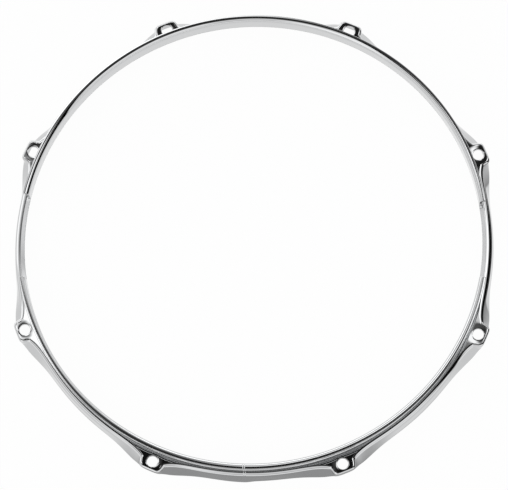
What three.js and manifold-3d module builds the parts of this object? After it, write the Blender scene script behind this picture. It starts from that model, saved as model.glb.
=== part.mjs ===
// Drum hoop for the snare side of a drum: one pressed steel strip, rolled into a ring and welded.
// Lengths are in millimetres, +Z is up, and the hoop stands on the lower edge of its skirt at z = 0.
// The two snare gates lie on the X axis, and the near side of the hoop faces -Y.

import * as THREE from 'three';
import { mergeVertices } from 'three/addons/utils/BufferGeometryUtils.js';
import Module from 'manifold-3d';

// The sheet and the ring.
const sheetThickness = 2.3;
const overallHeight = 26;
const collarInnerDiameter = 362.8;
const shelfHeight = 12;            // upper face of the shelf over the floor
const edgeBreak = 0.4;             // rounded off on the raw edges of the sheet

// Bends of the section, each given by its radius on the side where the sheet is tight.
const lipInsideBend = 1.2;
const shelfInsideBend = 1.8;
const skirtInsideBend = 0.4;
const lipFlat = 0.8;               // flat of the lip outside its bend
const spanShelfFlat = 0.4;         // flat of the shelf in the middle between two ears

// The ears, which are drawn out of shelf and skirt. Each is a tab with a flat seat, which meets the
// shoulders and the skirt at either side in hollow creases.
const earCount = 8;
const earHoleReach = 11.6;         // from the collar's inner face to the centre of a hole
const earHoleDiameter = 8.8;
const earHoleChamfer = 0.3;
const earSeatReach = 6.6;          // from the centre of the hole to the end of the flat seat
const earSeatHalfWidth = 8.2;
const earRootReach = -5;           // where the tab's outline starts, from the centre of the hole
const earCornerPower = 7;
const earFlankPower = 0.55;
const noseBend = 0.8;              // outer radius over the end of the tab
const noseUndercut = 1.7;          // how far the end would lean back at the floor
const flankBend = 1.8;             // outer radius over the sides of the tab
const flankDraft = 1.5;            // how far the sides would spread at the floor
const tabInsideBend = 0.4;
const creaseWidth = 1.2;
const flankFollow = 5.5;           // run beside a tab in which the sections still follow its side
const shoulderSwell = 16.1;        // shelf gained towards the ear
const shoulderFade = 8.9;          // run along the ring in which that gain falls to about a third
const shoulderTopRun = 8.5;        // nearer to the ear's middle the shoulder gains no more

// The skirt, measured at its outer lower edge.
const spanSkirtFlare = 4.8;        // past the end of the shelf's flat, between the ears
const earSkirtFlare = 8.8;         // gained at an ear
const earSkirtRise = 4.5;          // height of the lower edge over the floor at an ear
const earSkirtRun = 25.8;          // run along the ring of both
const earSkirtPower = 2.2;

// The snare gates.
const rightGateLength = 61.7;
const leftGateLength = 68.3;
const gateSill = 0.3;              // left standing over the shelf at the root of the collar
const gateSillSlope = Math.PI / 15;
const gateCornerRadius = 2;

// The butt weld that closes the ring, in the middle of a span on the near side.
const weldCentreX = -2.3;
const weldWidth = 1.6;
const weldKick = 0.95;             // how far the skirt stands out at the weld
const weldKickLongRun = 27.5;
const weldKickShortRun = 6;

// How finely the curves are divided. The shares are of the seat's half width and of half a span.
const collarSteps = 96;
const earStepShares = [0, 0.3, 0.54, 0.68, 0.78, 0.855, 0.91, 0.955, 0.985, 1.05];
const spanStepShares = [0.155, 0.21, 0.275, 0.36, 0.47, 0.61, 0.8, 1];
const weldStepShares = [-2.4, -1.6, -0.9, -0.4, 0, 0.5, 1, 1.7];
const lipBendSteps = 4;
const shelfBendSteps = 3;
const skirtBendSteps = 4;
const insideBendSteps = 2;
const holeSides = 24;
const cutOverrun = 2;
const nearestSectionShare = 1 / 8;   // of the sheet's thickness
const weldingShare = 1 / 100000;     // of the sheet's thickness

// Sizes that follow from the ones above.
const collarInner = collarInnerDiameter / 2;
const bendCentre = collarInner + sheetThickness + shelfInsideBend;   // both bends of the shelf's root
const lipEdge = collarInner + sheetThickness + lipInsideBend + lipFlat;
const spanShelfEnd = bendCentre + spanShelfFlat;
const skirtOutsideBend = sheetThickness + skirtInsideBend;
const earHoleCircle = collarInner + earHoleReach;
const seatEnd = earHoleCircle + earSeatReach;
const tabRoot = earHoleCircle + earRootReach;
const spanSkirtEdge = spanShelfEnd + spanSkirtFlare;
const earPitch = 2 * Math.PI / earCount;
const halfSpan = earHoleCircle * earPitch / 2;
const nearSide = -Math.PI / 2;
const weldAngle = nearSide + weldCentreX / earHoleCircle;

const wasm = await Module();
wasm.setup();

// Run along the ring, on the circle of the holes, from the middle of the nearest ear.
function runFromEar(angle) {
  const turns = angle / earPitch - 1 / 2;
  return (turns - Math.round(turns)) * earPitch * earHoleCircle;
}

// One at the middle of an ear, fading to zero between the ears.
function earBump(angle) {
  return Math.exp(-Math.pow(Math.abs(runFromEar(angle)) / earSkirtRun, earSkirtPower));
}

// The outer lower edge of the skirt, as a radius and as a height.
function footRadius(angle) {
  const turned = angle > Math.PI ? angle - 2 * Math.PI : angle;
  const away = (turned - weldAngle) * earHoleCircle;
  const kickRun = away < 0 ? weldKickLongRun : weldKickShortRun;
  const kick = weldKick * Math.exp(-Math.pow(away / kickRun, 2));
  return spanSkirtEdge + earSkirtFlare * earBump(angle) + kick;
}

function footHeight(angle) {
  return earSkirtRise * earBump(angle);
}

// How far a bend reaches out at a depth below the face where it starts.
function roundOver(radius, depth) {
  const down = Math.min(Math.max(depth, 0), radius);
  return Math.sqrt(radius * radius - (radius - down) * (radius - down));
}

// How much further in the inside of a tab lies than its outside.
function tabWall(depth) {
  return sheetThickness + tabInsideBend - roundOver(tabInsideBend, depth - sheetThickness);
}

// How far the side of a tab has moved along the ring at a depth below the shelf.
function tabSpread(depth, inside) {
  const below = Math.max(0, depth - flankBend) / (shelfHeight - flankBend);
  const spread = roundOver(flankBend, depth) + flankDraft * below;
  return inside ? spread - tabWall(depth) : spread;
}

// Outline of a tab at a depth below the shelf, as a radius.
function tabRadius(run, depth, inside) {
  const width = earSeatHalfWidth + tabSpread(depth, inside);
  const below = Math.max(0, depth - noseBend) / shelfHeight;
  const outerEnd = seatEnd + roundOver(noseBend, depth) - noseUndercut * below;
  const end = inside ? outerEnd - tabWall(depth) : outerEnd;
  const corner = 1 - Math.pow(Math.min(Math.abs(run) / width, 1), earCornerPower);
  return tabRoot + (end - tabRoot) * Math.pow(corner, earFlankPower);
}

// Outline of the plain skirt at a depth below the shelf, as a radius.
function skirtRadius(angle, depth, inside) {
  const run = Math.max(Math.abs(runFromEar(angle)), shoulderTopRun);
  const start = spanShelfEnd + shoulderSwell * Math.exp(-run / shoulderFade);
  const flare = footRadius(angle) - start;
  const height = shelfHeight - footHeight(angle) - skirtOutsideBend;
  const lean = Math.acos(skirtOutsideBend / Math.hypot(flare, height)) - Math.atan2(height, flare);
  const bend = inside ? skirtInsideBend : skirtOutsideBend;
  const down = inside ? depth - sheetThickness : depth;
  const bentDepth = bend * (1 - Math.sin(lean));
  if (down < bentDepth) return start + roundOver(bend, down);
  return start + bend * Math.cos(lean) + (down - bentDepth) * Math.tan(lean);
}

// The outer or inner face at a depth below the shelf, with the creases beside a tab rounded.
function faceRadius(angle, depth, inside) {
  const plain = skirtRadius(angle, depth, inside);
  const tab = tabRadius(runFromEar(angle), depth, inside);
  const blend = Math.max(0, 1 - Math.abs(plain - tab) / creaseWidth);
  return Math.max(plain, tab) + blend * blend * creaseWidth / 4;
}

// Points on an arc of the section, from one direction to another, as [radius, height].
function arc(centreRadius, centreHeight, radius, from, to, steps) {
  const points = [];
  for (let i = 0; i <= steps; i++) {
    const turn = from + (to - from) * i / steps;
    points.push([centreRadius + radius * Math.cos(turn), centreHeight + radius * Math.sin(turn)]);
  }
  return points;
}

// The part of the section that is the same all round: from the shelf's upper face up the outside of
// the collar, round the lip and down the inside of the collar to the shelf's lower face.
function collarSection() {
  const up = Math.PI / 2;
  const left = Math.PI;
  const rootHeight = shelfHeight + shelfInsideBend;
  const lipCentre = collarInner + sheetThickness + lipInsideBend;
  const lipHeight = overallHeight - sheetThickness - lipInsideBend;
  const lipUnder = overallHeight - sheetThickness;
  const outsideRoot = shelfInsideBend + sheetThickness;
  return [
    ...arc(bendCentre, rootHeight, shelfInsideBend, -up, -left, insideBendSteps),
    ...arc(lipCentre, lipHeight, lipInsideBend, left, up, insideBendSteps),
    [lipEdge - edgeBreak, lipUnder],
    [lipEdge, lipUnder + edgeBreak],
    [lipEdge, overallHeight - edgeBreak],
    [lipEdge - edgeBreak, overallHeight],
    ...arc(lipCentre, lipHeight, lipInsideBend + sheetThickness, up, left, lipBendSteps),
    ...arc(bendCentre, rootHeight, outsideRoot, -left, -up, shelfBendSteps),
  ];
}

// A point of the skirt, as [angle, radius, height], on the section that starts from the shelf at an
// angle. Beside a tab the sections move along the ring with its side, so that none cuts through it.
function skirtPoint(angle, height, inside, inset) {
  const depth = shelfHeight - height;
  const run = runFromEar(angle);
  const beside = Math.abs(run) - earSeatHalfWidth;
  const near = Math.pow(Math.abs(run) / earSeatHalfWidth, 3);
  const share = beside < 0 ? near : Math.exp(-Math.pow(beside / flankFollow, 2));
  const at = angle + Math.sign(run) * share * tabSpread(depth, inside) / earHoleCircle;
  const radius = faceRadius(at, depth, inside);
  return [at, inside ? radius + inset : radius - inset, height];
}

// The part of the section that changes round the ring: from the shelf's lower face out over the
// inside of the skirt, round its lower edge and back up over the bend to the shelf's upper face.
function skirtSection(angle) {
  const foot = footHeight(angle);
  const under = shelfHeight - sheetThickness;
  const points = [
    skirtPoint(angle, under, true, 0),
    skirtPoint(angle, under - skirtInsideBend, true, 0),
    skirtPoint(angle, foot + edgeBreak, true, 0),
    skirtPoint(angle, foot, true, edgeBreak),
    skirtPoint(angle, foot, false, edgeBreak),
    skirtPoint(angle, foot + edgeBreak, false, 0),
  ];
  for (let i = skirtBendSteps; i >= 0; i--) {
    const turn = Math.PI / 2 * i / skirtBendSteps;
    const drop = skirtOutsideBend * (1 - Math.cos(turn));
    points.push(skirtPoint(angle, shelfHeight - drop, false, 0));
  }
  return points;
}

// Angles of the fine sections: close together over each ear, wider between the ears.
function skirtAngles() {
  const angles = [];
  for (let ear = 0; ear < earCount; ear++) {
    const middle = (ear + 1 / 2) * earPitch;
    const runs = earStepShares.map((share) => share * earSeatHalfWidth);
    for (const share of spanStepShares) runs.push(share * halfSpan);
    for (const run of runs) {
      angles.push(middle + run / earHoleCircle);
      if (run > 0 && run < halfSpan) angles.push(middle - run / earHoleCircle);
    }
  }
  for (const share of weldStepShares) {
    angles.push(weldAngle + 2 * Math.PI + share * weldKickShortRun / earHoleCircle);
  }
  const full = 2 * Math.PI;
  const wrapped = angles.map((angle) => ((angle % full) + full) % full).sort((a, b) => a - b);
  const nearest = nearestSectionShare * sheetThickness / earHoleCircle;
  return wrapped.filter((angle, i) => i === 0 || angle - wrapped[i - 1] > nearest);
}

// The whole ring as one closed surface.
function ringGeometry() {
  const positions = [];
  const faces = [];
  const put = (angle, radius, height) => {
    positions.push(radius * Math.cos(angle), radius * Math.sin(angle), height);
    return positions.length / 3 - 1;
  };
  const coarse = [];
  for (let i = 0; i < collarSteps; i++) coarse.push(2 * Math.PI * i / collarSteps);
  const fine = skirtAngles();
  const collarPoints = collarSection();
  const collarRows = coarse.map((angle) => collarPoints.map((point) => put(angle, ...point)));
  const skirtRows = fine.map((angle) => skirtSection(angle).map((point) => put(...point)));
  const weave = (rows) => {
    for (let i = 0; i < rows.length; i++) {
      const here = rows[i];
      const next = rows[(i + 1) % rows.length];
      for (let j = 0; j + 1 < here.length; j++) {
        faces.push(here[j], next[j + 1], here[j + 1]);
        faces.push(here[j], next[j], next[j + 1]);
      }
    }
  };
  weave(collarRows);
  weave(skirtRows);
  // The flat of the shelf joins the coarse ring of the collar to the fine ring of the skirt.
  const zip = (innerRow, outerRow, flip) => {
    const full = 2 * Math.PI;
    let i = 0;
    let j = 0;
    while (i < coarse.length || j < fine.length) {
      const a = innerRow[i % coarse.length];
      const b = outerRow[j % fine.length];
      const nextCoarse = i + 1 < coarse.length ? coarse[i + 1] : full + coarse[0];
      const nextFine = j + 1 < fine.length ? fine[j + 1] : full + fine[0];
      const stepCoarse = j >= fine.length || (i < coarse.length && nextCoarse <= nextFine);
      const c = stepCoarse ? innerRow[(i + 1) % coarse.length] : outerRow[(j + 1) % fine.length];
      faces.push(...(flip ? [a, c, b] : [a, b, c]));
      if (stepCoarse) i++;
      else j++;
    }
  };
  const collarLast = collarPoints.length - 1;
  const skirtLast = skirtRows[0].length - 1;
  zip(collarRows.map((row) => row[0]), skirtRows.map((row) => row[skirtLast]), false);
  zip(collarRows.map((row) => row[collarLast]), skirtRows.map((row) => row[0]), true);
  const geometry = new THREE.BufferGeometry();
  geometry.setAttribute('position', new THREE.Float32BufferAttribute(positions, 3));
  geometry.setIndex(faces);
  return geometry;
}

function solidFrom(geometry) {
  const bare = new THREE.BufferGeometry();
  bare.setAttribute('position', geometry.getAttribute('position'));
  bare.setIndex(geometry.getIndex());
  const merged = mergeVertices(bare, weldingShare * sheetThickness);
  const corners = merged.getIndex().array;
  const kept = [];
  for (let i = 0; i < corners.length; i += 3) {
    const [a, b, c] = corners.slice(i, i + 3);
    if (a !== b && b !== c && c !== a) kept.push(a, b, c);
  }
  return new wasm.Manifold(new wasm.Mesh({
    numProp: 3,
    vertProperties: new Float32Array(merged.getAttribute('position').array),
    triVerts: new Uint32Array(kept),
  }));
}

// A hole through an ear, with both rims broken.
function holeCutter(angle) {
  const radius = earHoleDiameter / 2;
  const top = shelfHeight;
  const bottom = shelfHeight - sheetThickness;
  const wide = radius + earHoleChamfer + cutOverrun;
  const outline = [
    new THREE.Vector2(0, bottom - cutOverrun),
    new THREE.Vector2(wide, bottom - cutOverrun),
    new THREE.Vector2(radius, bottom + earHoleChamfer),
    new THREE.Vector2(radius, top - earHoleChamfer),
    new THREE.Vector2(wide, top + cutOverrun),
    new THREE.Vector2(0, top + cutOverrun),
  ];
  const geometry = new THREE.LatheGeometry(outline, holeSides);
  geometry.rotateX(Math.PI / 2);
  geometry.translate(earHoleCircle * Math.cos(angle), earHoleCircle * Math.sin(angle), 0);
  return geometry;
}

// A gate is punched through collar and lip, with round corners at its sill. The punch is tilted, so
// that the sill falls away outwards.
function gateCutter(length, side) {
  const half = length / 2;
  const top = overallHeight;
  const bend = gateCornerRadius;
  const outline = new THREE.Shape();
  outline.moveTo(-half, top);
  outline.lineTo(-half, bend);
  outline.absarc(-half + bend, bend, bend, Math.PI, 1.5 * Math.PI);
  outline.absarc(half - bend, bend, bend, 1.5 * Math.PI, 2 * Math.PI);
  outline.lineTo(half, top);
  outline.closePath();
  const tilted = top * Math.sin(gateSillSlope);
  const inner = collarInner * Math.cos(Math.asin(half / collarInner)) - tilted - cutOverrun;
  const outer = lipEdge + cutOverrun;
  const geometry = new THREE.ExtrudeGeometry(outline, {
    depth: outer - inner,
    bevelEnabled: false,
    curveSegments: 3,
  });
  geometry.rotateX(Math.PI / 2);
  geometry.rotateZ(Math.PI / 2);
  geometry.translate(inner - bendCentre + shelfInsideBend, 0, 0);
  geometry.rotateY(gateSillSlope);
  geometry.translate(bendCentre - shelfInsideBend, 0, shelfHeight + gateSill);
  if (side < 0) geometry.rotateZ(Math.PI);
  return geometry;
}

function kerfCutter() {
  const reach = seatEnd + earHoleCircle;
  const geometry = new THREE.BoxGeometry(weldWidth, reach, overallHeight + 2 * cutOverrun);
  geometry.translate(weldCentreX, -reach / 2, overallHeight / 2);
  return geometry;
}

function meshFrom(solid, name, material) {
  const made = solid.getMesh();
  const geometry = new THREE.BufferGeometry();
  geometry.setAttribute('position', new THREE.Float32BufferAttribute(made.vertProperties, made.numProp));
  geometry.setIndex(new THREE.Uint32BufferAttribute(made.triVerts, 1));
  geometry.computeVertexNormals();
  const mesh = new THREE.Mesh(geometry, material);
  mesh.name = name;
  return mesh;
}

let ring = solidFrom(ringGeometry());
for (let ear = 0; ear < earCount; ear++) {
  ring = ring.subtract(solidFrom(holeCutter((ear + 1 / 2) * earPitch)));
}
ring = ring.subtract(solidFrom(gateCutter(rightGateLength, 1)));
ring = ring.subtract(solidFrom(gateCutter(leftGateLength, -1)));
const kerf = solidFrom(kerfCutter());

const chrome = new THREE.MeshStandardMaterial({
  name: 'chrome',
  color: 0xd8dade,
  metalness: 1,
  roughness: 0.06,
});
const weldChrome = new THREE.MeshStandardMaterial({
  name: 'weld_chrome',
  color: 0xd2d4d8,
  metalness: 1,
  roughness: 0.1,
});

const hoop = new THREE.Group();
hoop.name = 'drum_hoop';
hoop.add(meshFrom(ring.subtract(kerf), 'hoop_strip', chrome));
hoop.add(meshFrom(ring.intersect(kerf), 'seam_weld', weldChrome));

export default hoop;
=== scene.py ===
"""Chromed snare side drum hoop, dressed for its studio photograph.

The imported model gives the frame: metres, +Z up, the hoop standing on its skirt at z = 0, the snare
gates on the X axis and the near side towards -Y. The two pieces below follow the pressed sheet more
finely than the solids do. Some of their sizes differ from the solids', as the comments beside them
say.
"""

import math

import bpy
import bmesh
from mathutils import Matrix, Vector
from mathutils.geometry import delaunay_2d_cdt, tessellate_polygon


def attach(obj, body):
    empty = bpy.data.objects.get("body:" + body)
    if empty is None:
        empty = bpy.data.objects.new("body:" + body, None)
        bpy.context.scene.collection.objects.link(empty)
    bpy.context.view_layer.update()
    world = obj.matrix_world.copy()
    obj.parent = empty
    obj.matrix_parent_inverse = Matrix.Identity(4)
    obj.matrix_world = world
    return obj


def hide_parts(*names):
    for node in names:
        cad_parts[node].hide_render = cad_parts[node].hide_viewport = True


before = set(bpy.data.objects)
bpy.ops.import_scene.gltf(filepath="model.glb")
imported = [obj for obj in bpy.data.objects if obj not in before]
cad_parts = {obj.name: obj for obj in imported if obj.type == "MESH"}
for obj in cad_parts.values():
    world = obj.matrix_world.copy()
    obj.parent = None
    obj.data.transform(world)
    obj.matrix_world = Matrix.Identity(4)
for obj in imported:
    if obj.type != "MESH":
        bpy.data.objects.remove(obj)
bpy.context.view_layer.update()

MM = 0.001
UP = math.pi / 2
TURN = 2 * math.pi

# The sheet and the ring. Sizes that differ from the solids' were picked among trial sizes, by how
# close the render's tones came to the photograph's, and the inside of the tabs was guessed. They
# weren't measured. By a fault of theirs, the solids also have thinner walls between the ears.
SHEET = 2.3 * MM
HEIGHT = 26 * MM
COLLAR_INNER = 181.4 * MM
SHELF = 12 * MM
EDGE_BREAK = 0.4 * MM
LIP_BEND = 1.2 * MM
ROOT_BEND = 1.4 * MM           # 1.8 in the solids
LIP_FLAT = 1.6 * MM            # 0.8 in the solids
SPAN_FLAT = 0.4 * MM
SPAN_BEND = 1.8 * MM           # 0.4 in the solids

# The ears. Runs are lengths along the ring, measured on the circle of the rod holes. Each ear is a
# tab with a flat seat, joined to the shoulders and the skirt at either side in hollow creases.
EARS = 8
HOLE_CIRCLE = 193 * MM
HOLE_RADIUS = 4.4 * MM
SEAT_END = 198.6 * MM          # 199.6 in the solids
SEAT_HALF_WIDTH = 8.4 * MM     # 8.2 in the solids
TAB_BASE = 188 * MM
TAB_CORNER_POWER = 7
TAB_FLANK_POWER = 0.5          # 0.55 in the solids
NOSE_BEND = 1.6 * MM           # 0.8 in the solids
NOSE_UNDERCUT = 1.7 * MM
FLANK_BEND = 2 * MM            # 1.8 in the solids
FLANK_DRAFT = 0.8 * MM         # 1.5 in the solids
TAB_INNER_BEND = 0.2 * MM      # 0.4 in the solids
NOSE_WALL = 2 * MM             # the whole sheet in the solids
SEAT_DISH = 0.1 * MM           # flat in the solids
DISH_HALF_WIDTH = 9 * MM
CREASE = 1.2 * MM
COLUMN_REACH = 5.5 * MM
COLUMN_POWER = 3
SHOULDER_SWELL = 16.1 * MM
SHOULDER_FADE = 8.9 * MM
SHOULDER_TOP = 8.5 * MM

# The lower edge of the skirt, which flares and rises towards the ears.
SPAN_FLARE = 5.2 * MM          # 4.8 in the solids
EAR_FLARE = 8.8 * MM
EAR_FLARE_RUN = 25.8 * MM
EAR_FLARE_POWER = 2.2
EAR_RISE = 4.5 * MM

# The snare gates, as (angle of the middle, half the angle). Their ends run along the radius here, and
# parallel in the solids.
GATES = ((0.0, math.radians(9.65)), (math.pi, math.radians(10.7)))
GATE_SILL = SHELF + 0.3 * MM
SILL_SLOPE = math.radians(12)
GATE_CORNER = 2 * MM
PUNCHED_EDGE = 0.3 * MM

# The butt weld, and the kick that it gives the skirt.
WELD_X = -2.3 * MM
WELD_WIDTH = 1.6 * MM
WELD_KICK = 0.95 * MM
WELD_KICK_LONG = 27.5 * MM
WELD_KICK_SHORT = 6 * MM

# How finely the surfaces are divided.
SPAN_STEP = 3.6 * MM
EAR_STEP = 0.54 * MM
EAR_ZONE = 15 * MM
BEND_STEPS = 10
EDGE_STEPS = 3
WALL_STEPS = 8
CORNER_STEPS = 6
HOLE_STEPS = 48
HOLE_ZONE = 10 * MM
HOLE_RINGS = 7
GUARD = 0.03 * MM
WELD_DISTANCE = 0.001 * MM
RING_STEP = 0.8 * MM
RING_MARGIN = 0.3 * MM
RING_SIDE_MARGIN = 0.5 * MM
GUARD_SHARE = 0.25
SETTLE_STEPS = 20
SAME_DIRECTION = 1e-4
INSIDE_ONLY = 1
PLACE_DISTANCE = 1e-9

# The finishes of a face: the plated sheet, and the plated cut of the punch.
PLATED, PUNCHED = 0, 1

# Sizes that follow.
ROOT = COLLAR_INNER + SHEET + ROOT_BEND
LIP_EDGE = COLLAR_INNER + SHEET + LIP_BEND + LIP_FLAT
SPAN_SHELF_END = ROOT + SPAN_FLAT
SPAN_FOOT = SPAN_SHELF_END + SPAN_FLARE
GATE_SHOULDER = GATE_SILL + GATE_CORNER
INNER_SHOULDER = GATE_SHOULDER + SHEET * math.tan(SILL_SLOPE)
PITCH = TURN / EARS
WELD_ANGLE = -UP + WELD_X / HOLE_CIRCLE


def signed_run(angle):
    """Run along the ring from the middle of the nearest ear."""
    turns = angle / PITCH - 0.5
    return (turns - round(turns)) * PITCH * HOLE_CIRCLE


def hollow_join(first, second):
    """The greater of two radii, rounded over where they are nearly equal."""
    share = max(0.0, 1 - abs(first - second) / CREASE)
    return max(first, second) + share * share * CREASE / 4


def bump(run):
    """One at the middle of an ear, fading to zero between the ears."""
    return math.exp(-(abs(run) / EAR_FLARE_RUN) ** EAR_FLARE_POWER)


def round_over(radius, depth):
    """How far a bend reaches out at a depth below the face where it starts."""
    depth = min(max(depth, 0.0), radius)
    return math.sqrt(radius * radius - (radius - depth) ** 2)


def foot_radius(angle):
    """Radius of the skirt's outer lower edge."""
    away = ((angle - WELD_ANGLE + math.pi) % TURN - math.pi) * HOLE_CIRCLE
    fade = WELD_KICK_LONG if away < 0 else WELD_KICK_SHORT
    kick = WELD_KICK * math.exp(-(away / fade) ** 2)
    return SPAN_FOOT + EAR_FLARE * bump(signed_run(angle)) + kick


def foot_height(angle):
    """Height of the skirt's lower edge over the floor."""
    return EAR_RISE * bump(signed_run(angle))


def tab_wall(wall, depth):
    """How much further in the inside of a tab lies than its outside."""
    return wall + TAB_INNER_BEND - round_over(TAB_INNER_BEND, depth - SHEET)


def tab_radius(run, depth, inner):
    """Outline of an ear's tab at a depth below the shelf, on its outer or its inner face."""
    below = max(0.0, depth - FLANK_BEND) / (SHELF - FLANK_BEND)
    width = SEAT_HALF_WIDTH + round_over(FLANK_BEND, depth) + FLANK_DRAFT * below
    end = SEAT_END + round_over(NOSE_BEND, depth) - NOSE_UNDERCUT * max(0.0, depth - NOSE_BEND) / SHELF
    if inner:
        width -= tab_wall(SHEET, depth)
        end -= tab_wall(NOSE_WALL, depth)
    share = 1 - min(abs(run) / width, 1.0) ** TAB_CORNER_POWER
    return TAB_BASE + (end - TAB_BASE) * share ** TAB_FLANK_POWER


def tab_shift(depth, inner):
    """How far the flank of a tab has moved along the ring at a depth below the shelf."""
    below = max(0.0, depth - FLANK_BEND) / (SHELF - FLANK_BEND)
    width = round_over(FLANK_BEND, depth) + FLANK_DRAFT * below
    if inner:
        width -= tab_wall(SHEET, depth)
    return width


def skirt_radius(angle, depth, inner):
    """Outline of the plain skirt at a depth below the shelf, on its outer or its inner face."""
    run = signed_run(angle)
    start = SPAN_SHELF_END + SHOULDER_SWELL * math.exp(-max(abs(run), SHOULDER_TOP) / SHOULDER_FADE)
    bend = SHEET + SPAN_BEND
    flare = foot_radius(angle) - start
    height = SHELF - foot_height(angle) - bend
    lean = math.acos(bend / math.hypot(flare, height)) - math.atan2(height, flare)
    if inner:
        bend -= SHEET
        depth -= SHEET
    straight_from = bend * (1 - math.sin(lean))
    if depth < straight_from:
        return start + round_over(bend, depth)
    return start + bend * math.cos(lean) + (depth - straight_from) * math.tan(lean)


def sheet_radius(angle, depth, inner):
    """Radius of the outer or inner face at a depth below the shelf."""
    run = signed_run(angle)
    plain = skirt_radius(angle, depth, inner)
    if abs(run) > EAR_ZONE:
        return plain
    return hollow_join(tab_radius(run, depth, inner), plain)


def column_angle(angle, depth, inner):
    """Where a column that starts on the shelf at an angle has got to at a depth below it.

    The columns follow the flanks of the tabs, so that no flank falls between them.
    """
    run = signed_run(angle)
    beside = abs(run) - SEAT_HALF_WIDTH
    if beside < 0:
        share = (abs(run) / SEAT_HALF_WIDTH) ** COLUMN_POWER
    else:
        share = math.exp(-(beside / COLUMN_REACH) ** 2)
    return angle + math.copysign(share * tab_shift(depth, inner), run) / HOLE_CIRCLE


def place(angle, radius, height, shift=0.0):
    """A point of the section at an angle, moved along the ring by a shift."""
    c, s = math.cos(angle), math.sin(angle)
    return Vector((radius * c - shift * s, radius * s + shift * c, height))


def arc(centre, radius, start, end, steps):
    """Points on an arc in the plane of a section."""
    points = []
    for i in range(steps + 1):
        turn = start + (end - start) * i / steps
        out = Vector((math.cos(turn), math.sin(turn)))
        points.append(Vector(centre) + radius * out)
    return points


def between_normals(first, second, share):
    """The direction at a share of the way from one direction to another."""
    angle = first.angle(second)
    if angle < SAME_DIRECTION:
        return first.copy()
    return (first * math.sin((1 - share) * angle) + second * math.sin(share * angle)) / math.sin(angle)


def rounded(corner, first, second, radius):
    """An arc over the corner between two faces, given by their outward directions."""
    first, second = Vector(first), Vector(second)
    centre = Vector(corner) - radius * (first + second) / (1 + first.dot(second))
    shares = [i / EDGE_STEPS for i in range(EDGE_STEPS + 1)]
    return [centre + radius * between_normals(first, second, share) for share in shares]


def straight(start, end, steps):
    """Points inside a straight stretch, the first and last close to its ends."""
    length = (end - start).length
    guard = min(GUARD / length, GUARD_SHARE)
    shares = [guard + (1 - 2 * guard) * i / steps for i in range(steps + 1)]
    return [start.lerp(end, share) for share in shares]


def collar_upper():
    """The section from the gate's shoulder up the outside, round the lip and down the inside."""
    lip_centre = (COLLAR_INNER + SHEET + LIP_BEND, HEIGHT - SHEET - LIP_BEND)
    hollow = arc(lip_centre, LIP_BEND, 2 * UP, UP, BEND_STEPS)
    under_edge = rounded((LIP_EDGE, HEIGHT - SHEET), (0, -1), (1, 0), EDGE_BREAK)
    upper_edge = rounded((LIP_EDGE, HEIGHT), (1, 0), (0, 1), EDGE_BREAK)
    crown = arc(lip_centre, LIP_BEND + SHEET, UP, 2 * UP, 2 * BEND_STEPS)
    outer_start = Vector((COLLAR_INNER + SHEET, GATE_SHOULDER))
    inner_end = Vector((COLLAR_INNER, INNER_SHOULDER))
    return [
        outer_start,
        *straight(outer_start, hollow[0], WALL_STEPS),
        *hollow,
        *under_edge,
        *straight(under_edge[-1], upper_edge[0], 1),
        *upper_edge,
        *crown,
        *straight(crown[-1], inner_end, WALL_STEPS),
        inner_end,
    ]


def root_column(radius, height):
    """Points up the root of the collar, from the shelf to a height, over a bend of some radius.

    The bend's centre is the same for both faces: the outer one is hollow and the inner one round.
    """
    centre_height = SHELF + ROOT_BEND
    bend_top = min(UP, math.acos(max(0.0, min(1.0, (centre_height - height) / radius))))
    wall = max(0.0, height - centre_height)
    length = radius * bend_top + wall
    points = []
    for i in range(BEND_STEPS + 1):
        run = length * i / BEND_STEPS
        turn = min(run / radius, UP)
        rise = max(0.0, run - radius * UP)
        points.append(Vector((ROOT - radius * math.sin(turn),
                              centre_height - radius * math.cos(turn) + rise)))
    return points


def skirt_point(angle, height, inner, inset=0.0):
    """A point of the skirt on the column that starts at an angle."""
    depth = SHELF - height
    at = column_angle(angle, depth, inner)
    radius = sheet_radius(at, depth, inner)
    return place(at, radius + inset if inner else radius - inset, height)


def skirt_row(angle):
    """Round the bend, down the skirt, round its foot and back up inside to the shelf's lower face."""
    foot = foot_height(angle)
    bend = SHEET + SPAN_BEND
    row = []
    for i in range(BEND_STEPS + 1):
        row.append(skirt_point(angle, SHELF - bend * (1 - math.cos(UP * i / BEND_STEPS)), False))
    low, high = foot + EDGE_BREAK, SHELF - bend
    for i in range(1, WALL_STEPS + 1):
        row.append(skirt_point(angle, high + (low - high) * i / WALL_STEPS, False))
    row += foot_edge(angle, foot, False)
    row += reversed(foot_edge(angle, foot, True))
    under = SHELF - SHEET - SPAN_BEND
    for i in range(WALL_STEPS + 1):
        row.append(skirt_point(angle, low + (under - low) * i / WALL_STEPS, True))
    for i in range(1, BEND_STEPS // 2 + 1):
        rise = SPAN_BEND * math.sin(UP * 2 * i / BEND_STEPS)
        row.append(skirt_point(angle, under + rise, True))
    return row


def foot_edge(angle, foot, inner):
    """The rounded lower edge of one face, downwards."""
    points = []
    for i in range(1, EDGE_STEPS + 1):
        turn = UP * i / EDGE_STEPS
        height = foot + EDGE_BREAK * (1 - math.sin(turn))
        points.append(skirt_point(angle, height, inner, EDGE_BREAK * (1 - math.cos(turn))))
    return points


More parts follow.
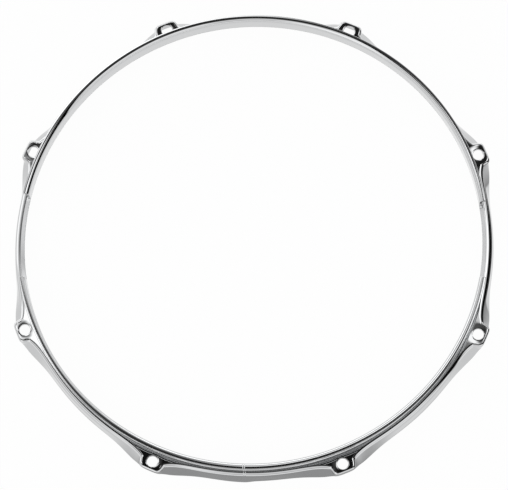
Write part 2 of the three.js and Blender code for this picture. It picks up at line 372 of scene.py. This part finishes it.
class Sheet:
    """Points and faces of a piece, gathered patch by patch and joined where they meet."""

    def __init__(self):
        self.points = []
        self.faces = []
        self.looks = []

    def add(self, points):
        first = len(self.points)
        self.points.extend(points)
        return list(range(first, len(self.points)))

    def face(self, ids, smooth, finish):
        self.faces.append(tuple(ids))
        self.looks.append((smooth, finish))

    def weave(self, rows, finish=PLATED):
        """Quads between rows of one length."""
        ids = [self.add(row) for row in rows]
        for here, there in zip(ids, ids[1:]):
            for j in range(len(here) - 1):
                self.face((here[j], here[j + 1], there[j + 1], there[j]), True, finish)

    def plane(self, outline, holes=(), finish=PLATED):
        """A plane face with holes, cut into triangles."""
        loops = [outline, *holes]
        ids = self.add([point for loop in loops for point in loop])
        for triangle in tessellate_polygon(loops):
            self.face([ids[i] for i in triangle], False, finish)

    def curved(self, outline, hole, inner_points, height_at):
        """A face that is nearly plane, round one hole, cut into triangles and set to its heights.

        The points of the outline and of the hole stay where they are.
        """
        loops = [outline, hole, inner_points]
        points = [point for loop in loops for point in loop]
        edges = []
        for first, count in ((0, len(outline)), (len(outline), len(hole))):
            edges += [(first + i, first + (i + 1) % count) for i in range(count)]
        flat = [point.xy for point in points]
        places, _, triangles, sources, _, _ = delaunay_2d_cdt(flat, edges, [], INSIDE_ONLY, PLACE_DISTANCE)
        placed = []
        for xy, source in zip(places, sources):
            if source and source[0] < len(outline) + len(hole):
                placed.append(points[source[0]])
            else:
                placed.append(Vector((xy.x, xy.y, height_at(xy))))
        ids = self.add(placed)
        middle = sum(hole, Vector()) / len(hole)
        hole_radius = (hole[0] - middle).xy.length
        for triangle in triangles:
            centroid = sum((placed[i] for i in triangle), Vector()) / 3
            if (centroid - middle).xy.length > hole_radius:
                self.face([ids[i] for i in triangle], True, PLATED)

    def tile(self, corners):
        """A plane face with four corners."""
        self.face(self.add(corners), False, PLATED)

    def piece(self, name, materials, node, slot):
        mesh = bpy.data.meshes.new(name)
        mesh.from_pydata([tuple(p) for p in self.points], [], self.faces)
        for face, (smooth, finish) in zip(mesh.polygons, self.looks):
            face.use_smooth = smooth
            face.material_index = finish
        made = bmesh.new()
        made.from_mesh(mesh)
        bmesh.ops.remove_doubles(made, verts=made.verts, dist=WELD_DISTANCE)
        bmesh.ops.recalc_face_normals(made, faces=made.faces)
        made.to_mesh(mesh)
        made.free()
        piece = bpy.data.objects.new(name, mesh)
        bpy.context.scene.collection.objects.link(piece)
        for material in materials:
            mesh.materials.append(material)
        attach(piece, "root")
        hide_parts(node)
        return piece


def spread(first, last):
    """Angles from one to another, close together over the ears and near both ends."""
    angles = [first]
    while angles[-1] < last:
        here = angles[-1]
        ends = min(here - first, last - here) * HOLE_CIRCLE < SPAN_STEP
        fine = ends or abs(signed_run(here)) < EAR_ZONE
        angles.append(here + (EAR_STEP if fine else SPAN_STEP) / HOLE_CIRCLE)
    angles[-1] = last
    return angles


def root_face(radius, height, hollow):
    """The outward direction of a root face at a height, in the plane of the section."""
    level = min(1.0, max(0.0, (SHELF + ROOT_BEND - height) / radius))
    out = Vector((math.sqrt(1 - level * level), level))
    return out if hollow else -out


def whole_station(angle):
    """A section outside the gates."""
    outer = root_column(ROOT_BEND, GATE_SHOULDER)
    inner = root_column(ROOT_BEND + SHEET, INNER_SHOULDER)
    return {
        "angle": angle,
        "outer": [place(angle, p.x, p.y) for p in outer],
        "inner": [place(angle, p.x, p.y) for p in inner],
        "upper": [place(angle, p.x, p.y) for p in collar_upper()],
    }


def root_height(radius, offset):
    """Height at which a root face meets the sloping cut, which passes the collar at an offset."""
    height = offset
    for _ in range(SETTLE_STEPS):
        reach = root_column(radius, height)[-1].x - (COLLAR_INNER + SHEET)
        height = offset - reach * math.tan(SILL_SLOPE)
    return height


def cut_station(angle, height, along, up):
    """A section inside a gate, or at its end: both roots up to the cut, and the strip across it."""
    edges = {}
    tilt = up * math.sin(SILL_SLOPE)
    for name, radius, hollow in (("outer", ROOT_BEND, True), ("inner", ROOT_BEND + SHEET, False)):
        at = root_height(radius, height)
        corner = root_column(radius, at)[-1]
        face = root_face(radius, at, hollow)
        side = Vector((face.x, 0, face.y))
        cut = Vector((tilt, along, up * math.cos(SILL_SLOPE))).normalized()
        edges[name] = rounded((corner.x, 0, corner.y), side, cut, PUNCHED_EDGE)
    columns = {}
    for name, radius in (("outer", ROOT_BEND), ("inner", ROOT_BEND + SHEET)):
        start = edges[name][0]
        points = root_column(radius, start.z)
        columns[name] = [place(angle, p.x, p.y, start.y) for p in points[:-1]]
        columns[name].append(place(angle, start.x, start.z, start.y))
    flat = straight(edges["outer"][-1], edges["inner"][-1], 1)
    strip = [*edges["outer"], *flat, *reversed(edges["inner"])]
    return {
        "angle": angle,
        "outer": columns["outer"],
        "inner": columns["inner"],
        "strip": [place(angle, p.x, p.z, p.y) for p in strip],
        "across": [place(angle, p.x, p.z, p.y) for p in flat],
    }


def gate_stations(first, last):
    """The sections of a gate, from one end over both round corners of the sill to the other end."""
    corner = []
    for i in range(CORNER_STEPS + 1):
        turn = UP * i / CORNER_STEPS
        run = GATE_CORNER * (1 - math.cos(turn)) / ROOT
        height = GATE_SILL + GATE_CORNER * (1 - math.sin(turn))
        corner.append((run, height, math.cos(turn), math.sin(turn)))
    start = [cut_station(first + run, height, along, up) for run, height, along, up in corner]
    finish = [cut_station(last - run, height, -along, up) for run, height, along, up in corner]
    sill = spread(first + corner[-1][0], last - corner[-1][0])[1:-1]
    return [*start, *[cut_station(angle, GATE_SILL, 0.0, 1.0) for angle in sill], *reversed(finish)]


def wall_rows(angle, towards):
    """The upper section rounded over into the end face of a gate, row by row."""
    section = collar_upper()
    rows = []
    for i in range(EDGE_STEPS + 1):
        turn = UP * i / EDGE_STEPS
        inset = PUNCHED_EDGE * (1 - math.cos(turn))
        shift = towards * PUNCHED_EDGE * (math.sin(turn) - 1)
        row = []
        for j, point in enumerate(section):
            along = section[min(j + 1, len(section) - 1)] - section[max(j - 1, 0)]
            out = Vector((along.y, -along.x)).normalized()
            moved = point - inset * out
            row.append(place(angle, moved.x, moved.y, shift))
        rows.append(row)
    return rows


def run_between(first, second):
    """Length along the circle of the holes from one angle to another, the shorter way round."""
    return abs((second - first + math.pi) % TURN - math.pi) * HOLE_CIRCLE


def seat_height(middle):
    """The height of an ear's seat, which is dished a little, as a function of the place."""
    inner, outer = ROOT, SEAT_END

    def height(place_at):
        run = run_between(middle, math.atan2(place_at.y, place_at.x))
        across = min(1.0, abs(2 * place_at.length - inner - outer) / (outer - inner))
        along = min(1.0, run / DISH_HALF_WIDTH)
        return SHELF - SEAT_DISH * (1 - across ** 2) ** 2 * (1 - along ** 2) ** 2

    return height


def rings_round(centre, middle):
    """Points round a hole, in the flat of the ear at an angle, to bend that flat by."""
    points = []
    for i in range(1, HOLE_RINGS):
        for j in range(HOLE_STEPS):
            turn = TURN * (j + (i % 2) / 2) / HOLE_STEPS
            way = Vector((math.cos(turn), math.sin(turn), 0))
            at = centre + way * (HOLE_RADIUS + PUNCHED_EDGE + RING_STEP * i)
            on_seat = ROOT + RING_MARGIN < at.xy.length < SEAT_END - RING_MARGIN
            if on_seat and run_between(middle, math.atan2(at.y, at.x)) < HOLE_ZONE - RING_SIDE_MARGIN:
                points.append(at)
    return points


def add_hole(sheet, centre, faces, height_at):
    """A bore through the flat of an ear, with both rims rounded. Returns its two outlines.

    The upper rim follows the height of the seat.
    """
    top, bottom = faces
    rings = []
    for face, sign in ((top, -1), (bottom, 1)):
        rim = []
        for i in range(EDGE_STEPS + 1):
            turn = UP * i / EDGE_STEPS
            radius = HOLE_RADIUS + PUNCHED_EDGE * (1 - math.sin(turn))
            rim.append((radius, face + sign * PUNCHED_EDGE * (1 - math.cos(turn))))
        rings.append(rim)
    profile = [*rings[0], *reversed(rings[1])]
    rows = []
    for i in range(HOLE_STEPS + 1):
        turn = TURN * (i % HOLE_STEPS) / HOLE_STEPS
        way = Vector((math.cos(turn), math.sin(turn), 0))
        row = [centre + way * radius + Vector((0, 0, height)) for radius, height in profile]
        for point in row[:EDGE_STEPS + 1]:
            point.z += height_at(row[0].xy) - SHELF
        rows.append(row)
    sheet.weave(rows, PUNCHED)
    return [row[0] for row in rows[:-1]], [row[-1] for row in rows[:-1]]


def add_flats(sheet, stations):
    """Both faces of the shelf, between the roots of the collar and the bend of the skirt."""
    rims = {}
    for ear in range(EARS):
        middle = (ear + 0.5) * PITCH
        held = [s for s in stations if run_between(middle, s["angle"]) <= HOLE_ZONE]
        if held:
            centre = place(middle, HOLE_CIRCLE, 0)
            seat = seat_height(middle)
            outlines = add_hole(sheet, centre, (SHELF, SHELF - SHEET), seat)
            rings = rings_round(centre, middle)
            rims[ear] = (held, rings, seat, outlines)
    for side, column, end in ((0, "outer", 0), (1, "inner", -1)):
        rows = [flat_row(station, column, end) for station in stations]
        sheet.weave([row[:2] for row in rows])
        sheet.weave([row[2:] for row in rows])
        zones = []
        for held, rings, seat, outlines in rims.values():
            first = next(i for i, s in enumerate(stations) if s is held[0])
            zones.append((first, first + len(held) - 1))
            part = rows[first:first + len(held)]
            outline = [row[1] for row in part] + [row[2] for row in reversed(part)]
            if side == 0:
                sheet.curved(outline, outlines[0], rings, seat)
            else:
                sheet.plane(outline, [outlines[1]])
        for i in range(len(rows) - 1):
            if not any(first <= i < last for first, last in zones):
                here, there = rows[i], rows[i + 1]
                sheet.tile([here[1], here[2], there[2], there[1]])


def flat_row(station, column, end):
    """From the root of the collar to the skirt's bend, over one face of the shelf."""
    root, last = station[column][0], station["skirt"][end]
    outwards = Vector((root.x, root.y, 0)).normalized()
    return [root, root + outwards * GUARD, last - outwards * GUARD, last]


def add_end(sheet, station):
    """A plane face across the whole section, where the strip and the weld meet."""
    outline = [*station["outer"], *station["upper"][1:-1], *reversed(station["inner"])]
    outline += flat_row(station, "inner", -1)[1:3]
    outline += reversed(station["skirt"])
    outline += reversed(flat_row(station, "outer", 0)[1:3])
    sheet.plane(outline)


def build_ring(first, last, name, materials, node, slot):
    """The pressed sheet from one angle to another."""
    sheet = Sheet()
    stations = []
    angle = first
    runs = []
    for middle, half in GATES:
        if not first < middle < last:
            continue
        clear = 2 * PUNCHED_EDGE / ROOT
        whole = [whole_station(a) for a in spread(angle, middle - half - clear)]
        cuts = gate_stations(middle - half, middle + half)
        runs.append((whole, cuts))
        stations += whole + cuts
        angle = middle + half + clear
    whole = [whole_station(a) for a in spread(angle, last)]
    runs.append((whole, []))
    stations += whole
    for station in stations:
        station["skirt"] = skirt_row(station["angle"])
    sheet.weave([station["outer"] for station in stations])
    sheet.weave([station["inner"] for station in stations])
    sheet.weave([station["skirt"] for station in stations])
    add_flats(sheet, stations)
    before = None
    for whole, cuts in runs:
        rows = [station["upper"] for station in whole]
        if before:
            walls = wall_rows(before["angle"], -1)
            rows = [*reversed(walls), *rows]
            sheet.plane([*walls[-1], *reversed(before["across"])], finish=PUNCHED)
        if cuts:
            walls = wall_rows(cuts[0]["angle"], 1)
            rows = [*rows, *walls]
            sheet.plane([*walls[-1], *reversed(cuts[0]["across"])], finish=PUNCHED)
            sheet.weave([station["strip"] for station in cuts], PUNCHED)
            before = cuts[-1]
        sheet.weave(rows)
    add_end(sheet, stations[0])
    add_end(sheet, stations[-1])
    return sheet.piece(name, materials, node, slot)


def add_node(tree, kind, **values):
    node = tree.nodes.new(kind)
    for name, value in values.items():
        if name in node.inputs:
            node.inputs[name].default_value = value
        else:
            setattr(node, name, value)
    return node


def feed(tree, socket, value):
    """Sets a socket to a number, or links it to the output that is given instead."""
    if isinstance(value, bpy.types.NodeSocket):
        tree.links.new(value, socket)
    else:
        socket.default_value = value


def calc(tree, operation, *values):
    node = add_node(tree, "ShaderNodeMath", operation=operation)
    for socket, value in zip(node.inputs, values):
        feed(tree, socket, value)
    return node.outputs[0]


def blend(tree, share, first, second):
    """A number that goes from the first to the second with a share from 0 to 1."""
    node = tree.nodes.new("ShaderNodeMix")
    for name, value in (("Factor", share), ("A", first), ("B", second)):
        feed(tree, node.inputs[name], value)
    return node.outputs["Result"]


def ramp(tree, value, start, end, shape="LINEAR"):
    """A share that rises from 0 at the start to 1 at the end, and may fall where the end is lower."""
    node = add_node(tree, "ShaderNodeMapRange", interpolation_type=shape)
    falling = end < start
    node.inputs["From Min"].default_value = min(start, end)
    node.inputs["From Max"].default_value = max(start, end)
    node.inputs["To Min"].default_value = 1.0 if falling else 0.0
    node.inputs["To Max"].default_value = 0.0 if falling else 1.0
    feed(tree, node.inputs["Value"], value)
    return node.outputs["Result"]


def soft_step(tree, value, at, softness, falling=False):
    """A soft step in degrees at a value in radians."""
    low, high = math.radians(at - softness), math.radians(at + softness)
    return ramp(tree, value, *((high, low) if falling else (low, high)), shape="SMOOTHSTEP")


# The plate: chrome, with the marks that polishing and handling leave. Its colour is darker than
# chrome's, which is about 0.79: it is the darkest that the fit of the studio below was allowed.
PLATE_COLOUR = (0.547, 0.552, 0.557)
PLATE_ROUGHNESS = 0.012
WELD_ROUGHNESS = 0.075
PUNCHED_ROUGHNESS = 0.1
HAZE_ROUGHNESS = 0.02
HAZE_SIZE = 9 * MM
GRAIN_SIZE = 0.5 * MM
WAVE_SIZE = 26 * MM
WAVE_DEPTH = 0.012 * MM
HAZE_DETAIL, GRAIN_DETAIL, WAVE_DETAIL = 4, 2, 1
DETAIL_ROUGHNESS = 0.55
HAZE_SHARES = (0.5, 0.75)
GRAIN_SHARES = (0.3, 0.7)


def noise(tree, place_at, size, detail):
    node = add_node(tree, "ShaderNodeTexNoise", Scale=1 / size, Detail=detail, Roughness=DETAIL_ROUGHNESS)
    tree.links.new(place_at, node.inputs["Vector"])
    return node.outputs["Fac"]


def chrome_material(name, roughness, grain=0.0):
    """Bright plate: a mirror with faint polishing haze and the slight waviness of pressed sheet.

    The grain is the rougher finish that a punch leaves.
    """
    material = bpy.data.materials.new(name)
    material.use_nodes = True
    tree = material.node_tree
    place_at = tree.nodes.new("ShaderNodeTexCoord").outputs["Object"]
    shader = tree.nodes["Principled BSDF"]
    shader.inputs["Metallic"].default_value = 1.0
    shader.inputs["Base Color"].default_value = (*PLATE_COLOUR, 1)
    haze = ramp(tree, noise(tree, place_at, HAZE_SIZE, HAZE_DETAIL), *HAZE_SHARES, "SMOOTHSTEP")
    marks = ramp(tree, noise(tree, place_at, GRAIN_SIZE, GRAIN_DETAIL), *GRAIN_SHARES)
    polished = blend(tree, haze, roughness, roughness + HAZE_ROUGHNESS)
    tree.links.new(calc(tree, "MULTIPLY_ADD", marks, grain, polished), shader.inputs["Roughness"])
    waves = add_node(tree, "ShaderNodeBump", Strength=1.0, Distance=WAVE_DEPTH)
    tree.links.new(noise(tree, place_at, WAVE_SIZE, WAVE_DETAIL), waves.inputs["Height"])
    tree.links.new(waves.outputs["Normal"], shader.inputs["Normal"])
    return material


# The floor's paper. The camera sees it white, with a faint shadow. What the plate mirrors of it is a
# painted reflection with painted shade: black under the hoop, darker in front of the near side, and
# black beyond the right gate.
PAPER_SIZE = 6.0
PAPER_COLOUR = (0.9, 0.9, 0.9)
PAPER_ROUGHNESS = 0.9
PAPER_GLOW = 1.0
CAMERA_SHARE = 0.97
PLATE_SHARE = 0.9
INSIDE_LEVEL = 1.1
OUTSIDE_LEVEL = 1.05
RING_REACH = 185 * MM
# Painted shade: in the plate, the paper between these two distances to the axis, under the hoop, is set to
# this level.
PAINTED_SHADE_UNDER_HOOP = (181 * MM, 190.5 * MM)
PAINTED_SHADE_UNDER_LEVEL = 0
SHADE_EDGE = 1.5 * MM
SHADE_TURN = 6

# Painted shades on the paper, seen only in the plate, as (azimuth, half width, from what distance to the
# hoop's axis, strength).
PAINTED_FLOOR_SHADES = (
    (2, 30.5, 188 * MM, 0.45),
    (91, 15.5, 199 * MM, 0),
)


def azimuth_of(tree, x, y):
    """The angle round from the near side, in radians."""
    return calc(tree, "ARCTAN2", x, calc(tree, "MULTIPLY", y, -1.0))


def within(tree, azimuth, middle, half, softness):
    """A share that is 1 near a middle azimuth. All but the azimuth are in degrees."""
    turned = calc(tree, "SUBTRACT", azimuth, math.radians(middle))
    beside = calc(tree, "ABSOLUTE", calc(tree, "WRAP", turned, math.pi, -math.pi))
    return soft_step(tree, beside, half, softness, falling=True)


def beyond(tree, reach, at, falling=False):
    """A share that is 1 on the paper beyond a distance, or within it."""
    ends = (at + SHADE_EDGE, at - SHADE_EDGE) if falling else (at - SHADE_EDGE, at + SHADE_EDGE)
    return ramp(tree, reach, *ends, shape="SMOOTHSTEP")


def paper_painted_reflection(tree):
    """The paper's level in the plate: a painted reflection, with painted shade under the hoop and in the
    painted shades on the paper.
    """
    parts = tree.nodes.new("ShaderNodeSeparateXYZ")
    tree.links.new(tree.nodes.new("ShaderNodeNewGeometry").outputs["Position"], parts.inputs[0])
    x, y, _ = parts.outputs
    reach = calc(tree, "SQRT", calc(tree, "MULTIPLY_ADD", x, x, calc(tree, "MULTIPLY", y, y)))
    azimuth = azimuth_of(tree, x, y)
    level = blend(tree, beyond(tree, reach, RING_REACH), INSIDE_LEVEL, OUTSIDE_LEVEL)
    # Painted shade in the plate, in front of the near side and beyond the right gate.
    for middle, half, nearest, strength in PAINTED_FLOOR_SHADES:
        share = calc(tree, "MULTIPLY", within(tree, azimuth, middle, half, SHADE_TURN),
                     beyond(tree, reach, nearest))
        level = blend(tree, share, level, strength)
    # Painted shade under the hoop: the paper there is black in the plate.
    under = calc(tree, "MULTIPLY", beyond(tree, reach, PAINTED_SHADE_UNDER_HOOP[0]),
                 beyond(tree, reach, PAINTED_SHADE_UNDER_HOOP[1], falling=True))
    return blend(tree, under, level, PAINTED_SHADE_UNDER_LEVEL)


def add_floor():
    bpy.ops.mesh.primitive_plane_add(size=PAPER_SIZE, location=(0, 0, 0))
    floor = bpy.context.object
    floor.name = "floor"
    material = bpy.data.materials.new("floor_paper")
    material.use_nodes = True
    tree = material.node_tree
    shader = tree.nodes["Principled BSDF"]
    shader.inputs["Base Color"].default_value = (*PAPER_COLOUR, 1)
    shader.inputs["Roughness"].default_value = PAPER_ROUGHNESS
    shader.inputs["Specular IOR Level"].default_value = 0.0
    path = tree.nodes.new("ShaderNodeLightPath")
    glossy = path.outputs["Is Glossy Ray"]
    glow = add_node(tree, "ShaderNodeEmission", Color=(1, 1, 1, 1))
    tree.links.new(blend(tree, glossy, PAPER_GLOW, paper_painted_reflection(tree)), glow.inputs["Strength"])
    share = calc(tree, "ADD", calc(tree, "MULTIPLY", path.outputs["Is Camera Ray"], CAMERA_SHARE),
                 calc(tree, "MULTIPLY", glossy, PLATE_SHARE))
    mix = tree.nodes.new("ShaderNodeMixShader")
    tree.links.new(share, mix.inputs[0])
    tree.links.new(shader.outputs[0], mix.inputs[1])
    tree.links.new(glow.outputs[0], mix.inputs[2])
    tree.links.new(mix.outputs[0], tree.nodes["Material Output"].inputs["Surface"])
    floor.data.materials.append(material)


# The studio, seen in the plate. Azimuth 0 is the near side and 90 is +X, all in degrees. It is no real
# studio: TENT, CARDS, SPOTS, PAINTED_FLOOR_SHADES, INSIDE_LEVEL, OUTSIDE_LEVEL,
# PAINTED_SHADE_UNDER_LEVEL, PAINTED_SHADE_UNDER_HOOP and PLATE_COLOUR were written by another program,
# from its least-squares fit to the photograph's tones. It is no real studio: TENT, CARDS, SPOTS, the
# floor's painted shades, INSIDE_LEVEL, OUTSIDE_LEVEL, the band and level of the painted shade under
# the hoop, and PLATE_COLOUR come from a least-squares fit to the photograph's tones, rounded. The
# second card's strength was then changed, and the weak rows were left out.

# The level all round, as (elevation, strength).
TENT = (
    (0, 1.4), (15, 1.25), (30, 0.55), (42, 1.1), (52, 1), (62, 2.1), (70, 2.35), (78, 0.09), (90, 0.01),
)

# Lighter and darker fields in it, as (azimuth, half width, lowest, highest, softness, strength).
CARDS = (
    (92.5, 25.5, -9, 91, 1, 0),
    (179, 48, 42, 83.5, 2, 0.12),
    (357, 44.5, 61, 85.5, 13, 0.07),
    (213, 34, 55.5, 66.5, 2.5, 0.25),
    (250.5, 8.5, -9, 35, 1, 1.75),
    (199.5, 41, -8.5, 18.5, 8, 2.6),
    (111, 26, 49.5, 71, 11.5, 1),
    (36.5, 24.5, 28.5, 65, 4, 1.3),
    (278.5, 24, 57, 85.5, 1.5, 0),
    (202.5, 17.5, 50, 65.5, 8, 2.6),
)

# Round ones, as (azimuth, elevation, radius, softness, strength).
SPOTS = (
    (129.5, 69, 7, 2, 2.4),
    (327.5, 34, 15.5, 7, 1.6),
    (70, 68, 13, 6.5, 0),
    (154, 71, 3, 1, 1.7),
    (190, 71, 6, 1.6, 0.02),
    (193, 62.5, 2.6, 1.3, 0.07),
    (201, 70, 0.8, 1, 0.5),
    (210.6, 73.4, 1.4, 0.8, 1.9),
    (197.7, 78.6, 3.7, 1.2, 0.01),
    (168.6, 73.8, 2, 0.8, 1.7),
)


def sky_way(azimuth, elevation):
    """A direction, from its angles in degrees."""
    a, e = math.radians(azimuth), math.radians(elevation)
    return Vector((math.sin(a) * math.cos(e), -math.cos(a) * math.cos(e), math.sin(e)))


def tent_level(tree, direction):
    """The studio's strength in a direction."""
    parts = tree.nodes.new("ShaderNodeSeparateXYZ")
    tree.links.new(direction, parts.inputs[0])
    x, y, z = parts.outputs
    elevation = calc(tree, "ARCSINE", z)
    azimuth = azimuth_of(tree, x, y)
    level = TENT[0][1]
    for (low, _), (high, strength) in zip(TENT, TENT[1:]):
        share = ramp(tree, elevation, math.radians(low), math.radians(high))
        level = blend(tree, share, level, strength)
    for middle, half, low, high, softness, strength in CARDS:
        share = calc(tree, "MULTIPLY",
                     within(tree, azimuth, middle, half, softness),
                     calc(tree, "MULTIPLY", soft_step(tree, elevation, low, softness),
                          soft_step(tree, elevation, high, softness, falling=True)))
        level = blend(tree, share, level, strength)
    for azimuth_at, elevation_at, radius, softness, strength in SPOTS:
        dot = add_node(tree, "ShaderNodeVectorMath", operation="DOT_PRODUCT")
        tree.links.new(direction, dot.inputs[0])
        dot.inputs[1].default_value = sky_way(azimuth_at, elevation_at)
        away = calc(tree, "ARCCOSINE", dot.outputs["Value"])
        share = soft_step(tree, away, radius, softness, falling=True)
        level = blend(tree, share, level, strength)
    return level


def set_world():
    world = bpy.data.worlds.new("studio")
    bpy.context.scene.world = world
    world.use_nodes = True
    tree = world.node_tree
    direction = tree.nodes.new("ShaderNodeTexCoord").outputs["Generated"]
    tent = tree.nodes["Background"]
    tent.inputs["Color"].default_value = (1, 1, 1, 1)
    tree.links.new(tent_level(tree, direction), tent.inputs["Strength"])
    white = add_node(tree, "ShaderNodeBackground", Strength=1.0)
    white.inputs["Color"].default_value = (1, 1, 1, 1)
    path = tree.nodes.new("ShaderNodeLightPath")
    mix = tree.nodes.new("ShaderNodeMixShader")
    tree.links.new(path.outputs["Is Camera Ray"], mix.inputs[0])
    tree.links.new(tent.outputs[0], mix.inputs[1])
    tree.links.new(white.outputs[0], mix.inputs[2])
    tree.links.new(mix.outputs[0], tree.nodes["World Output"].inputs["Surface"])


# The camera, fitted to the eight rod holes of the photograph.
CAMERA_AZIMUTH = 11.04
CAMERA_ELEVATION = 73.36
CAMERA_ROLL = -10.12
CAMERA_DISTANCE = 2204.3 * MM
CAMERA_SHIFT = (1.01 * MM, -2.29 * MM)
CAMERA_LOOKS_AT_HEIGHT = 10.85 * MM
CAMERA_SENSOR = 36.0
CAMERA_REACH = 20.0
FOCAL_PIXELS = 2779.7
PHOTO_WIDTH = 508


def add_camera():
    a, e = math.radians(CAMERA_AZIMUTH), math.radians(CAMERA_ELEVATION)
    back = Vector((math.sin(a) * math.cos(e), -math.cos(a) * math.cos(e), math.sin(e)))
    level = Vector((math.cos(a), math.sin(a), 0))
    up = back.cross(level)
    roll = math.radians(CAMERA_ROLL)
    right = math.cos(roll) * level + math.sin(roll) * up
    above = math.cos(roll) * up - math.sin(roll) * level
    place_at = back * CAMERA_DISTANCE + right * CAMERA_SHIFT[0] + above * CAMERA_SHIFT[1]
    place_at.z += CAMERA_LOOKS_AT_HEIGHT
    data = bpy.data.cameras.new("camera")
    data.sensor_width = CAMERA_SENSOR
    data.lens = CAMERA_SENSOR * FOCAL_PIXELS / PHOTO_WIDTH
    data.clip_end = CAMERA_REACH
    camera = bpy.data.objects.new("camera", data)
    camera.matrix_world = Matrix((
        (right.x, above.x, back.x, place_at.x),
        (right.y, above.y, back.y, place_at.y),
        (right.z, above.z, back.z, place_at.z),
        (0, 0, 0, 1),
    ))
    bpy.context.scene.collection.objects.link(camera)
    bpy.context.scene.camera = camera


add_camera()
bright = chrome_material("chrome_plate", PLATE_ROUGHNESS)
dull = chrome_material("weld_plate", WELD_ROUGHNESS)
cut = chrome_material("punched_plate", PLATE_ROUGHNESS, PUNCHED_ROUGHNESS)
half_weld = WELD_WIDTH / 2 / HOLE_CIRCLE
build_ring(WELD_ANGLE + half_weld, WELD_ANGLE - half_weld + TURN, "hoop_strip_skin", (bright, cut),
           "hoop_strip", "chrome")
build_ring(WELD_ANGLE - half_weld, WELD_ANGLE + half_weld, "seam_weld_skin", (dull,), "seam_weld",
           "weld_chrome")
add_floor()
set_world()

scene = bpy.context.scene
scene.view_settings.view_transform = "Standard"


def corners(box):
    return [[float(v) for v in corner] for corner in box]
